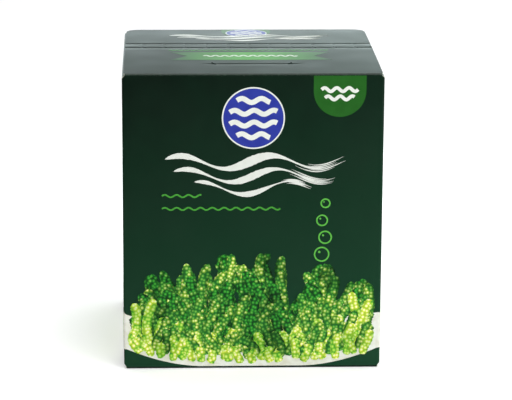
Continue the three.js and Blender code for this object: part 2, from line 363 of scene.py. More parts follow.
@dataclass(frozen=True)
class SeaGrapeFlesh:
    """Brined bladders of seaweed: wet, firm and see-through green, paler where the light comes through."""

    name: str
    patch: float = 5.0         # mm, size of the paler patches
    light_reach: float = 1.2   # mm, how far light spreads in the flesh

    def build(self) -> Material:
        """Builds the material."""
        recipe = Recipe(self.name)
        stops = [(0.32, "#2c6a16"), (0.5, "#4f9a22"), (0.7, "#a4c93c")]
        inputs = {
            "Base Color": recipe.ramp(recipe.noise(self.patch, 2.0), stops),
            "Roughness": 0.16,
            "IOR": 1.37,
            "Subsurface Weight": 0.35,
            "Subsurface Radius": (0.4, 1.0, 0.2),
            "Subsurface Scale": self.light_reach * MM,
            "Coat Weight": 0.4,
            "Coat Roughness": 0.08,
        }
        return recipe.principled(inputs)


class Finish(Enum):
    """Every finish on the carton and in it."""

    # painted light: the flood print pales towards the lower right of the carton
    FLOOD = FloodPrint("deep_green_flood_print", "#021a0e", "#042113", painted_light_ink="#0e4429")
    FOLD = FloodPrint("deep_green_print_on_folds", "#0a2116", "#10281c", wear=0.14)
    WHITE_COAT = FloodPrint("white_clay_coat", "#dcdcd4", "#e6e6df")
    RAW = UncoatedBoard("uncoated_board_back")
    CUT = CutEdge("die_cut_board_core")
    WHITE_INK = SolidInk("white_ink", "#e9ebe4", "#dde0d8")
    PAPER_INK = SolidInk("off_white_ink", "#e3e5df", "#d9dcd4")
    BLUE_INK = SolidInk("blue_ink", "#20309a", "#2a3aa6")
    TAB_GREEN = SolidInk("mid_green_ink", "#1b6014", "#206819")
    RULE_GREEN = SolidInk("grass_green_ink", "#3f9a2c", "#46a333")
    LIGHT_GREEN = SolidInk("light_green_ink", "#56b43c", "#62be48")
    SHORE = SolidInk("shore_white_ink", "#eeefe8", "#d6d2bd")
    RIBBON = FadingInk("ribbon_green_ink", "#48a030", "#24502a", 36.0)
    DEEP_BEADS = BeadPrint(
        "deep_green_bladder_print",
        "#094a16", "#1a8c1e", "#48b432", "#2c7d1c", "#6db02b", "#c0dc52", (1.2, 1.6), "#1b5c2c",
    )
    MID_BEADS = BeadPrint(
        "green_bladder_print",
        "#166a1c", "#36982a", "#84c846", "#4c9420", "#a2cb30", "#ecf07c", (0.95, 1.4), "#2a7a38",
    )
    BRIGHT_BEADS = BeadPrint(
        "yellow_green_bladder_print",
        "#4caa22", "#94d82e", "#def268", "#a8c828", "#e8f044", "#fbfbc0", (0.6, 1.1), "#86c654",
    )
    FILM = PouchFilm("clear_pouch_film")
    FLESH = SeaGrapeFlesh("sea_grape_flesh")

    def material(self) -> Material:
        """Returns the finish's material, made the first time that it is asked for."""
        return bpy.data.materials.get(self.value.name) or self.value.build()


BOARD = (Finish.FLOOD, Finish.RAW, Finish.CUT)     # outside, inside and cut edges


# ---- Flat shapes -----------------------------------------------------------------------------------
def circle(centre: Point, radius: float, corners: int = 48) -> list[Point]:
    """Returns a closed round outline in millimetres."""
    turns = (2 * math.pi * i / corners for i in range(corners))
    return [(centre[0] + radius * math.cos(t), centre[1] + radius * math.sin(t)) for t in turns]


def rounded(corners: Sequence[Point3], steps: int = 6) -> list[Point]:
    """Rounds the corners of an outline.

    Args:
        corners: u, v and radius of each corner.
        steps: how many chords a rounded corner gets.

    Returns:
        The outline with each round corner as a short run of points.
    """
    line: list[Point] = []
    for i, (u, v, radius) in enumerate(corners):
        here = Vector((u, v))
        if radius == 0:
            line.append((u, v))
            continue
        before = here + (Vector(corners[i - 1][:2]) - here).normalized() * radius
        after = here + (Vector(corners[(i + 1) % len(corners)][:2]) - here).normalized() * radius
        for k in range(steps + 1):
            t = k / steps
            line.append(tuple(before * (1 - t) ** 2 + here * 2 * t * (1 - t) + after * t * t))
    return line


def band_outline(path: Sequence[Point], half_width: Callable[[float], float]) -> list[Point]:
    """Widens an open line into a closed outline.

    Args:
        path: the points of the line.
        half_width: half of the width at each share of the line, from 0 to 1.

    Returns:
        The outline, along one side and back along the other.
    """
    left, right = [], []
    for i, point in enumerate(path):
        ahead = Vector(path[min(i + 1, len(path) - 1)]) - Vector(path[max(i - 1, 0)])
        across = Vector((-ahead.y, ahead.x)).normalized() * half_width(i / (len(path) - 1))
        left.append(tuple(Vector(point) + across))
        right.append(tuple(Vector(point) - across))
    return left + right[::-1]


def flat_mesh(loops: Iterable[Sequence[Point]]) -> BMesh:
    """Fills closed outlines in the plane z = 0, and an outline inside another one is a hole.

    Args:
        loops: the outlines.

    Returns:
        A new mesh of flat faces.
    """
    curve = bpy.data.curves.new("outline", "CURVE")
    curve.dimensions = "2D"
    curve.fill_mode = "BOTH"
    for loop in loops:
        spline = curve.splines.new("POLY")
        spline.points.add(len(loop) - 1)
        spline.points.foreach_set("co", [c for u, v in loop for c in (u, v, 0, 1)])
        spline.use_cyclic_u = True
    holder = bpy.data.objects.new("outline", curve)
    mesh = bpy.data.meshes.new_from_object(holder)
    bm = bmesh.new()
    bm.from_mesh(mesh)
    bpy.data.objects.remove(holder)
    bpy.data.curves.remove(curve)
    bpy.data.meshes.remove(mesh)
    bmesh.ops.remove_doubles(bm, verts=bm.verts, dist=1e-4)
    return bm


def to_mesh(bm: BMesh, name: str) -> bpy.types.Mesh:
    """Turns a bmesh into a new mesh, and frees the bmesh."""
    mesh = bpy.data.meshes.new(name)
    bm.to_mesh(mesh)
    bm.free()
    return mesh


def joined(parts: Iterable[bpy.types.Mesh]) -> BMesh:
    """Joins meshes into a new bmesh, and removes them. One long bmesh would be slow to add to."""
    bm = bmesh.new()
    bm.loops.layers.uv.new("strand")
    for part in parts:
        bm.from_mesh(part)
        bpy.data.meshes.remove(part)
    return bm


def slice_at(bm: BMesh, axis: int, places: Iterable[float]) -> None:
    """Cuts a flat mesh straight through at these places on an axis."""
    normal = Vector((axis == 0, axis == 1, 0))
    for place in places:
        everything = bm.verts[:] + bm.edges[:] + bm.faces[:]
        bmesh.ops.bisect_plane(bm, geom=everything, dist=1e-5, plane_co=normal * place, plane_no=normal)


def slice_both_ways(bm: BMesh) -> None:
    """Cuts a flat mesh every few millimetres both ways, so that it can follow a bowed panel."""
    for axis in (0, 1):
        reach = [v.co[axis] for v in bm.verts]
        count = range(math.ceil(min(reach) / SLICE), math.floor(max(reach) / SLICE) + 1)
        slice_at(bm, axis, [SLICE * k for k in count])


def thicken(bm: BMesh, low: float, high: float) -> None:
    """Gives a flat mesh a closed thickness, with its underside and its top at these heights."""
    bmesh.ops.translate(bm, verts=bm.verts, vec=(0, 0, low))
    grown = bmesh.ops.extrude_face_region(bm, geom=bm.faces[:])["geom"]
    bmesh.ops.translate(bm, verts=of_kind(grown, bmesh.types.BMVert), vec=(0, 0, high - low))
    bmesh.ops.recalc_face_normals(bm, faces=bm.faces)


def of_kind(geometry: Iterable, kind: type) -> list:
    """Returns what is of one kind, such as the vertices, in what a bmesh operator gave back."""
    return [piece for piece in geometry if isinstance(piece, kind)]


def carried(bm: BMesh, edges: list, step: Vector) -> list:
    """Extrudes a line of edges along a step and returns the new line."""
    made = bmesh.ops.extrude_edge_only(bm, edges=edges)["geom"]
    bmesh.ops.translate(bm, verts=of_kind(made, bmesh.types.BMVert), vec=step)
    return of_kind(made, bmesh.types.BMEdge)


def solidify_board(bm: BMesh) -> None:
    """Gives an open shell the board's thickness. Finishes: 0 outside, 1 inside, 2 on the cut edges."""
    outer = set(bm.verts)
    bmesh.ops.solidify(bm, geom=bm.faces[:], thickness=PLAN.board)
    for face in bm.faces:
        kinds = {v in outer for v in face.verts}
        face.material_index = 2 if len(kinds) == 2 else (0 if True in kinds else 1)


# ---- The carton's panels ----------------------------------------------------------------------------
@dataclass(frozen=True)
class Panel:
    """One side of the carton with its own millimetres: u runs right and v up, as seen from outside.

    The middle of the panel is its origin. A real panel is never quite flat: its middle stands proud.
    """

    middle: Vector
    right: Vector
    up: Vector
    half_u: float
    half_v: float
    bow: float = 0.0
    free_sides: bool = False   # the two sides at the ends of u aren't folded down

    def rise(self, u: float, v: float) -> float:
        """Returns how far the panel stands proud at a place, in millimetres."""
        across = 1.0 if self.free_sides else max(0.0, 1 - (u / self.half_u) ** 2)
        return self.bow * across * max(0.0, 1 - (v / self.half_v) ** 2)

    @property
    def outward(self) -> Vector:
        """Returns the way that the panel faces."""
        return self.right.cross(self.up)

    def place(self, bm: BMesh, level: float = 0.0) -> None:
        """Moves a mesh from this panel's millimetres to the carton, lifted off the panel by a level."""
        outward = self.outward
        for vert in bm.verts:
            u, v, height = vert.co
            lift = height + level + self.rise(u, v)
            vert.co = self.middle + (self.right * u + self.up * v + outward * lift) * MM


@dataclass(frozen=True)
class UprightFold:
    """The rounded fold at a wall's right end. Its u runs round the fold, and its v is the wall's."""

    wall: Panel
    radius: float

    @property
    def length(self) -> float:
        """Returns how far it is round the fold."""
        return self.radius * math.pi / 2

    def place(self, bm: BMesh) -> None:
        """Bends a flat mesh, in millimetres, round the fold."""
        right, up, outward = self.wall.right, self.wall.up, self.wall.outward
        axis = right * (self.wall.half_u - self.radius) - outward * self.radius
        for vert in bm.verts:
            u, v, height = vert.co
            turn = u / self.radius
            arm = (outward * math.cos(turn) + right * math.sin(turn)) * (self.radius + height)
            vert.co = self.wall.middle + (axis + arm + up * v) * MM


@dataclass(frozen=True)
class CartonPlan:
    """The carton's sizes in millimetres, read from the frame."""

    half_width: float
    half_depth: float
    height: float
    board: float
    flap_x: float
    strip_front: float
    strip_back: float
    rear_end: float
    inner_top: float
    dust_top: float
    wall_bow: float = 0.35
    top_bow: float = 0.35
    corner: float = 1.2        # outside radius of the upright folds

    @classmethod
    def from_frame(cls) -> "CartonPlan":
        """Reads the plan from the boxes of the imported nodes."""
        tops = ("sleeve", "rear_panel", "inner_flap", "dust_flap_left")
        sleeve, rear, inner, dust = (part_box(node)[1] / MM for node in tops)
        low, strip = (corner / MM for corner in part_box("tear_strip"))
        return cls(
            half_width=sleeve.x,
            half_depth=sleeve.y,
            height=strip.z,
            board=strip.z - low.z,
            flap_x=strip.x,
            strip_front=low.y - HALF_CUT,
            strip_back=strip.y + HALF_CUT,
            rear_end=rear.y,
            inner_top=inner.z,
            dust_top=dust.z,
        )

    def wall(self, turn: int) -> Panel:
        """Returns a wall: 0 is the front, 1 the right side, 2 the back and 3 the left side."""
        right = Matrix.Rotation(turn * math.pi / 2, 3, "Z") @ X
        sizes = (self.half_width, self.half_depth)
        half_u, reach = sizes if turn % 2 == 0 else reversed(sizes)
        middle = (right.cross(Z) * reach + Z * self.height / 2) * MM
        return Panel(middle, right, Z, half_u, self.height / 2, self.wall_bow)

    def top(self, bow: bool = True) -> Panel:
        """Returns the top panel, or with no bow the level plane through it."""
        middle = Z * self.height * MM
        rise = self.top_bow if bow else 0.0
        return Panel(middle, X, Y, self.half_width, self.half_depth, rise, free_sides=True)

    def bottom(self) -> Panel:
        """Returns the level plane that the carton stands on, seen from below."""
        return Panel(Vector(), -X, Y, self.half_width, self.half_depth)


PLAN = CartonPlan.from_frame()


def publish(
    name: str,
    bm: BMesh,
    finishes: Sequence[Finish],
    body: str | None = "root",
    replaces: Sequence[str] = (),
    smooth_below: float = 40.0,
) -> bpy.types.Object:
    """Turns a finished bmesh into a piece of the carton.

    Args:
        name: the piece's name.
        bm: its mesh in metres, which is freed.
        finishes: the finish of each material number.
        replaces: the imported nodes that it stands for.
        smooth_below: edges that turn less than this many degrees are shaded round.

    Returns:
        The new object.
    """
    mesh = to_mesh(bm, name)
    for finish in finishes:
        mesh.materials.append(finish.material())
    mesh.shade_smooth()
    mesh.set_sharp_from_angle(angle=math.radians(smooth_below))
    piece = bpy.data.objects.new(name, mesh)
    bpy.context.scene.collection.objects.link(piece)
    if body:
        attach(piece, body)
    if replaces:
        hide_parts(*replaces)
    log.info("%s: %d faces, on %s", name, len(mesh.polygons), body or "two bodies")
    return piece


# ---- Sleeve -----------------------------------------------------------------------------------------
@dataclass
class Sleeve:
    """The four walls in one strip of board, with rounded upright folds and a glued seam inside."""

    columns: int = 14
    rows: int = 16
    seam_width: float = 15.0
    seam_top: float = 128.7
    seam_foot: float = -64.0   # v on the wall, where the seam's cut ends start
    seam_slant: float = 5.0

    def rim(self, place: Vector, levels: Sequence[float]) -> float:
        """Returns the height of the rim at a place, from those at the front, the back and the sides."""
        front, back, side = levels
        along = front if place.y < 0 else back
        turned = (abs(place.x) - PLAN.half_width + PLAN.corner) / PLAN.corner
        return along + (side - along) * min(1.0, max(0.0, turned))

    def build(self) -> None:
        """Builds the sleeve and its seam."""
        bm = bmesh.new()
        bmesh.ops.create_grid(bm, x_segments=1, y_segments=1, size=1.0)
        bmesh.ops.scale(bm, verts=bm.verts, vec=(PLAN.half_width, PLAN.half_depth, 1))
        rounding = {"offset": PLAN.corner, "offset_type": "OFFSET", "segments": 6, "profile": 0.5}
        bmesh.ops.bevel(bm, geom=bm.verts[:], affect="VERTICES", material=-1, **rounding)
        bmesh.ops.delete(bm, geom=bm.faces[:], context="FACES_ONLY")
        straight = [e for e in bm.edges if e.calc_length() > 10 * PLAN.corner]
        bmesh.ops.subdivide_edges(bm, edges=straight, cuts=self.columns - 1)
        low, high = FOLD_REACH, PLAN.height - FOLD_REACH
        for vert in bm.verts:
            vert.co.z = low
        ring = bm.edges[:]
        for _ in range(self.rows):
            ring = carried(bm, ring, Z * (high - low) / self.rows)
        self.shape_rims(bm, low, high)
        bmesh.ops.recalc_face_normals(bm, faces=bm.faces)
        solidify_board(bm)
        self.bow_walls(bm)
        bmesh.ops.scale(bm, verts=bm.verts, vec=(MM, MM, MM))
        publish("sleeve_board", bm, BOARD, replaces=["sleeve"])
        self.build_seam()

    def shape_rims(self, bm: BMesh, low: float, high: float) -> None:
        """Sets the height of each wall's top and bottom rim to where its fold starts."""
        step = PLAN.height - PLAN.inner_top
        tops = (high, high - step, high - PLAN.height + PLAN.dust_top)
        bottoms = (low, low + step, low + 2 * step)
        for vert in bm.verts:
            for level, levels in ((high, tops), (low, bottoms)):
                if abs(vert.co.z - level) < 0.01:
                    vert.co.z = self.rim(vert.co, levels)
                    break

    def bow_walls(self, bm: BMesh) -> None:
        """Lets the middle of each wall stand a little proud."""
        near = PLAN.board + PLAN.corner
        for turn in range(4):
            wall = PLAN.wall(turn)
            outward = wall.outward
            plane = PLAN.half_depth if turn % 2 == 0 else PLAN.half_width
            for vert in bm.verts:
                if vert.co.dot(outward) > plane - near:
                    vert.co += outward * wall.rise(vert.co.dot(wall.right), vert.co.z - wall.half_v)

    def build_seam(self) -> None:
        """Builds the seam strip that is glued inside the back wall."""
        left = PLAN.half_width - PLAN.board - 0.1
        right, top = left - self.seam_width, self.seam_top - PLAN.height / 2
        foot, slant = self.seam_foot, self.seam_slant
        bm = flat_mesh([[(left, foot), (left, top), (right, top - slant), (right, foot + slant)]])
        slice_both_ways(bm)
        thicken(bm, -2 * PLAN.board, -PLAN.board)
        PLAN.wall(2).place(bm)
        publish("glued_seam", bm, [Finish.RAW])


# ---- Folds ------------------------------------------------------------------------------------------
@dataclass
class Fold:
    """The rounded strip of board where a flap turns over from its wall, creased by a steel rule."""

    name: str
    hinge: Point               # mm: outward distance from the carton's middle, and height
    turn: int                  # which wall it belongs to, as in CartonPlan.wall
    half_length: float
    child: str | None = None   # the body of a flap that swings
    up: int = 1                # -1 for a fold at the bottom
    backward: bool = False     # set on the back fold, whose flap turns over by a half turn
    radius: float = 0.7
    bend_start: Point = (0.3, -0.7)     # inward and up from the hinge line
    bend_end: Point = (0.7, -0.3)

    def build(self) -> None:
        """Spins the strip round the fold's inside."""
        bm = bmesh.new()
        ends = [bm.verts.new((x, 0, -FOLD_REACH)) for x in (-self.half_length, self.half_length)]
        bmesh.ops.subdivide_edges(bm, edges=[bm.edges.new(ends)], cuts=13)
        rule = carried(bm, bm.edges[:], Z * (FOLD_REACH - self.radius))
        bend = {"cent": (0, self.radius, -self.radius), "axis": -X, "angle": math.pi / 2}
        turned = bmesh.ops.spin(bm, geom=rule, steps=6, use_merge=False, **bend)["geom_last"]
        carried(bm, of_kind(turned, bmesh.types.BMEdge), Y * (FOLD_REACH - self.radius))
        bmesh.ops.remove_doubles(bm, verts=bm.verts, dist=1e-4)
        self.face_outward(bm)
        solidify_board(bm)
        self.place(bm)
        finishes = [Finish.FOLD, *BOARD[1:]]
        piece = publish(self.name, bm, finishes, body=None if self.child else "root")
        if self.child:
            ends = [("root", self.at(*self.bend_start)), (self.child, self.at(*self.bend_end))]
            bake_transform(piece)

    def face_outward(self, bm: BMesh) -> None:
        """Turns every face of the open strip away from the carton."""
        away = Vector((0, -1, 1))
        bm.normal_update()
        wrong = [f for f in bm.faces if f.normal.dot(away) < 0]
        bmesh.ops.reverse_faces(bm, faces=wrong)
        bm.normal_update()

    def at(self, inward: float, height: float) -> Vector:
        """Returns the place that far inward of the hinge line and above it, in metres."""
        outward = PLAN.wall(self.turn).outward
        return (outward * (self.hinge[0] - inward) + Z * (self.hinge[1] + self.up * height)) * MM

    def place(self, bm: BMesh) -> None:
        """Moves the strip from its own axes, along, inward and up, to its wall."""
        right = PLAN.wall(self.turn).right
        top = PLAN.top()
        bowed = self.up > 0 and self.turn % 2 == 0
        for vert in bm.verts:
            along, inward, height = vert.co
            vert.co = right * along * MM + self.at(inward, height)
            if bowed:
                vert.co.z += top.rise(vert.co.x / MM, vert.co.y / MM) * MM
        if self.up < 0:
            bmesh.ops.reverse_faces(bm, faces=bm.faces)


def build_folds() -> None:
    """Builds the eight folds between the walls and their flaps."""
    step = PLAN.height - PLAN.inner_top
    flat = PLAN.half_width - PLAN.corner
    depth, width = PLAN.half_depth, PLAN.half_width
    Fold("front_fold", (depth, PLAN.height), 0, flat, "front_flap").build()
    Fold("back_fold", (depth, PLAN.inner_top), 2, flat, "lid", backward=True).build()
    Fold("right_fold", (width, PLAN.dust_top), 1, DUST_HALF, "dust_right").build()
    Fold("left_fold", (width, PLAN.dust_top), 3, DUST_HALF, "dust_left").build()
    Fold("bottom_front_fold", (depth, 0), 0, flat, up=-1).build()
    Fold("bottom_back_fold", (depth, step), 2, flat, up=-1).build()
    Fold("bottom_right_fold", (width, 2 * step), 1, DUST_HALF, up=-1).build()
    Fold("bottom_left_fold", (width, 2 * step), 3, DUST_HALF, up=-1).build()


# ---- Flaps ------------------------------------------------------------------------------------------
@dataclass(frozen=True)
class PressedLine:
    """A straight cut along u, where the cutting rule has pressed the board down on both sides."""

    v: float
    half_length: float
    near_depth: float = 0.18   # how deep, and how far from the cut, on the side of lower v
    near_reach: float = 0.55
    far_depth: float = 0.32
    far_reach: float = 0.6
    nicks: tuple[float, ...] = ()   # places along u that the rule left uncut, and so not pressed
    nick_half: float = 0.6     # mm, half of the board that a nick leaves standing
    nick_share: float = 0.8    # how much of the depth it leaves standing
    fade: float = 4.0          # mm past the line's ends over which the board comes level again

    def sink(self, u: float, v: float) -> float:
        """Returns how far the printed side is pressed down at a place."""
        near, far = (self.near_depth, self.near_reach), (self.far_depth, self.far_reach)
        depth, reach = near if v < self.v else far
        inside = min(1.0, max(0.0, (self.half_length + self.fade - abs(u)) / self.fade))
        whole = max((math.exp(-(((u - nick) / self.nick_half) ** 2)) for nick in self.nicks), default=0.0)
        pressed = depth * inside * (1 - self.nick_share * whole)
        return pressed * math.exp(-(((v - self.v) / reach) ** 2))

    def slice_beside(self, bm: BMesh) -> None:
        """Cuts a flat board beside the line and its nicks, so that it can slope down to it."""
        levels = [self.v - share * self.near_reach for share in (0.6, 1.2, 2.0)]
        levels += [self.v + share * self.far_reach for share in (0.6, 1.2, 2.0)]
        slice_at(bm, 1, levels)
        slice_at(bm, 0, [nick + step for nick in self.nicks for step in (-1.1, -0.5, 0.5, 1.1)])


@dataclass
class ZipRow:
    """One of the two rows of hooked cuts beside the tear strip. Short uncut nicks join the cuts."""

    v: float
    inward: int                # +1 if the strip lies on the +v side of the row
    gap: float = 0.34
    pitch: float = 9.5
    first: float = 7.7         # from the left end to the first hook
    cut: float = 8.7           # each hooked cut's length along the row
    hook_depth: float = 2.4
    hook_length: float = 1.8
    hairline: float = 0.02     # gap where the boards all but touch, at the nicks
    end_cuts: tuple[Point, ...] = ((0.0, 2.2), (3.4, 6.9))

    def edge(self, on_strip: bool) -> list[Point]:
        """Returns one board's edge along the row, from left to right.

        Args:
            on_strip: True for the strip's edge, False for its neighbour's.

        Returns:
            The points of the edge, with the nicks as small tabs that meet in the row's middle.
        """
        way = 1 if on_strip else -1
        left, right = -PLAN.flap_x, PLAN.flap_x
        level = self.v + self.inward * way * self.gap / 2
        nick = self.v + self.inward * way * self.hairline / 2
        slack = -way * self.hairline
        line: list[Point] = []
        for start, end in self.end_cuts:
            line += [(left + start, level), (left + end, level), (left + end, nick)]
            line += [(left + (3.4 if start == 0 else self.first), nick)]
        x = left + self.first
        while x < right - self.hook_length:
            end = min(x + self.cut, right)
            hook, tip = x + slack, level + self.inward * self.hook_depth
            line += [(hook, nick), (hook, tip), (hook + self.hook_length, level), (end, level)]
            if end < right:
                line += [(end, nick)]
            x += self.pitch
        return line

    def pressed_line(self) -> PressedLine:
        """Returns how the board is pressed down along the row, with its nicks left standing."""
        first = self.first - PLAN.flap_x - (self.pitch - self.cut) / 2
        count = math.floor((PLAN.flap_x - first) / self.pitch) + 1
        nicks = tuple(first + self.pitch * k for k in range(count))
        return PressedLine(self.v, 60.0, nicks=nicks)


@dataclass
class Flap:
    """One flat flap of board with its print, its raw back and its cut edges."""

    node: str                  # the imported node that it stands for
    outline: Sequence[Point]
    body: str
    level: float               # height of its printed side, in millimetres
    outer: Finish = Finish.WHITE_COAT
    slot: str = "plain_board"
    also: Sequence[str] = ()   # other nodes that are in the same board
    bowed: bool = True
    holes: Sequence[Sequence[Point]] = ()
    pressed: Sequence[PressedLine] = ()
    underside: bool = False    # True for a flap at the bottom

    def build(self) -> bpy.types.Object:
        """Cuts the flap out, presses its cut rows down and puts it on its body."""
        bm = flat_mesh([self.outline, *self.holes])
        slice_both_ways(bm)
        for line in self.pressed:
            line.slice_beside(bm)
        thicken(bm, -PLAN.board, 0.0)
        bm.normal_update()
        for face in bm.faces:
            height = face.normal.z
            # painted shade: cut walls along the pressed rows and the slit take the dark print, not the pale
            # core
            wall = 0 if self.dark_cut_wall_with_painted_shade(face.calc_center_median()) else 2
            face.material_index = 0 if height > 0.3 else (1 if height < -0.3 else wall)
        for vert in bm.verts:
            if vert.co.z > -1e-4:
                vert.co.z -= sum(line.sink(vert.co.x, vert.co.y) for line in self.pressed)
        if self.underside:
            PLAN.bottom().place(bm, -self.level)
        else:
            PLAN.top(self.bowed).place(bm, self.level - PLAN.height)
        nodes = [self.node, *self.also]
        finishes = [self.outer, *BOARD[1:]]
        return publish(f"{self.node}_board", bm, finishes, self.body, nodes, smooth_below=60)

    def dark_cut_wall_with_painted_shade(self, place: Vector) -> bool:
        """Tells whether a cut wall at a place takes the dark print: the rule drags the print down it, and
        the dark is painted shade of the narrow cut.
        """
        beside = [line for line in self.pressed if abs(place.y - line.v) < 4]
        return abs(place.x) < PLAN.flap_x - 0.1 and any(abs(place.x) < line.half_length for line in beside)


@dataclass
class TopClosure:
    """The four top flaps: the sealed outer one with its tear strip, the inner one and two dust flaps."""

    slit_half: float = 14.0
    slit_v: float = -31.3
    slit_bend: float = 3.2
    slit_width: float = 0.7
    rear_corner: float = 7.0
    tongue_half: float = 16.0
    tongue_end: float = -39.5
    tongue_corner: float = 9.0
    inner_front: float = 7.6
    inner_inset: float = 1.1
    dust_length: float = 36.0
    dust_taper: float = math.radians(28)

    def lock_slit(self) -> list[Point]:
        """Returns the outline of the curved slit that takes the tongue."""
        bend_v = self.slit_v + self.slit_bend
        outer, inner = (self.slit_bend + s * self.slit_width / 2 for s in (1, -1))
        quarter = [math.pi / 2 * k / 6 for k in range(7)]
        line = [(-self.slit_half - outer * math.cos(t), bend_v - outer * math.sin(t)) for t in quarter]
        line += [(self.slit_half + outer * math.sin(t), bend_v - outer * math.cos(t)) for t in quarter]
        line += [(self.slit_half + inner * math.cos(t), bend_v - inner * math.sin(t)) for t in quarter]
        line += [(-self.slit_half - inner * math.sin(t), bend_v - inner * math.cos(t)) for t in quarter]
        return line

    def build(self) -> None:
        """Builds the flaps."""
        front_row, back_row = ZipRow(PLAN.strip_front, 1), ZipRow(PLAN.strip_back, -1)
        x, start = PLAN.flap_x, -PLAN.half_depth + FOLD_REACH
        front = [(-x, start), (x, start), *reversed(front_row.edge(False))]
        strip = [*front_row.edge(True), *reversed(back_row.edge(True))]
        rear = [(u, v, 0) for u, v in back_row.edge(False)]
        rear += [(side * x, PLAN.rear_end, self.rear_corner) for side in (1, -1)]
        presses = [front_row.pressed_line(), back_row.pressed_line()]
        slit_half = self.slit_half + self.slit_bend + 0.3
        slit = PressedLine(self.slit_v, slit_half, 0.05, 1.0, 0.36, 0.85)
        look = {"level": PLAN.height, "outer": Finish.FLOOD, "slot": "top_board"}
        cuts = {"holes": [self.lock_slit()], "pressed": [presses[0], slit]}
        Flap("front_flap", front, "front_flap", **cuts, **look).build()
        Flap("tear_strip", strip, "lid", pressed=presses, **look).build()
        Flap("rear_panel", rounded(rear), "lid", pressed=presses[1:], **look).build()
        self.build_inner()
        for side, name in SIDES:
            self.build_dust(side, name)

    def build_inner(self) -> None:
        """Builds the inner flap with its tongue, in one piece of board."""
        x, end = PLAN.half_width - self.inner_inset, PLAN.half_depth - FOLD_REACH
        half, front = self.tongue_half, self.inner_front
        tongue = [(-half, self.tongue_end, self.tongue_corner), (half, self.tongue_end, self.tongue_corner)]
        corners = [(-x, front, 1), (-half, front, 0), *tongue, (half, front, 0), (x, front, 1)]
        outline = rounded([*corners, (x, end, 0), (-x, end, 0)])
        Flap("inner_flap", outline, "lid", PLAN.inner_top, also=["closing_tongue"]).build()

    def build_dust(self, side: int, name: str) -> None:
        """Builds one side flap, which narrows towards its free edge."""
        fold_x, free_x = PLAN.half_width - FOLD_REACH, PLAN.half_width - self.dust_length
        fold_x, free_x = side * fold_x, side * free_x
        free_y = DUST_HALF - self.dust_length * math.tan(self.dust_taper)
        fold = [(fold_x, -DUST_HALF, 0), (fold_x, DUST_HALF, 0)]
        outline = rounded([*fold, (free_x, free_y, 4), (free_x, -free_y, 4)])
        Flap(f"dust_flap_{name}", outline, f"dust_{name}", PLAN.dust_top, bowed=False).build()


@dataclass
class Bottom:
    """The four bottom flaps, glued over one another, with their printed sides down."""

    inner_length: float = 68.0
    dust_length: float = 38.0
    inner_inset: float = 1.1

    def build(self) -> None:
        """Builds the outer, the inner and the two side flaps."""
        step = PLAN.height - PLAN.inner_top
        fold_x, fold_y = PLAN.half_width - FOLD_REACH, PLAN.half_depth - FOLD_REACH
        free_x, free_y = PLAN.half_width - self.dust_length, PLAN.half_depth - self.inner_length
        x, end = PLAN.flap_x, PLAN.rear_end
        outer = [(-x, -fold_y, 0), (x, -fold_y, 0), (x, end, 3), (-x, end, 3)]
        self.flap("bottom_outer_flap", outer, 0, outer=Finish.FLOOD, slot="printed_board")
        x = PLAN.half_width - self.inner_inset
        inner = [(-x, free_y, 3), (x, free_y, 3), (x, fold_y, 0), (-x, fold_y, 0)]
        self.flap("bottom_inner_flap", inner, step)
        for side, name in SIDES:
            near, far = side * fold_x, side * free_x
            fold = [(near, -DUST_HALF, 0), (near, DUST_HALF, 0)]
            corners = [*fold, (far, DUST_HALF, 4), (far, -DUST_HALF, 4)]
            self.flap(f"bottom_dust_flap_{name}", corners, 2 * step)

    @staticmethod
    def flap(node: str, corners: Sequence[Point3], level: float, **look: object) -> None:
        """Builds one bottom flap."""
        Flap(node, rounded(corners), "root", level, underside=True, **look).build()


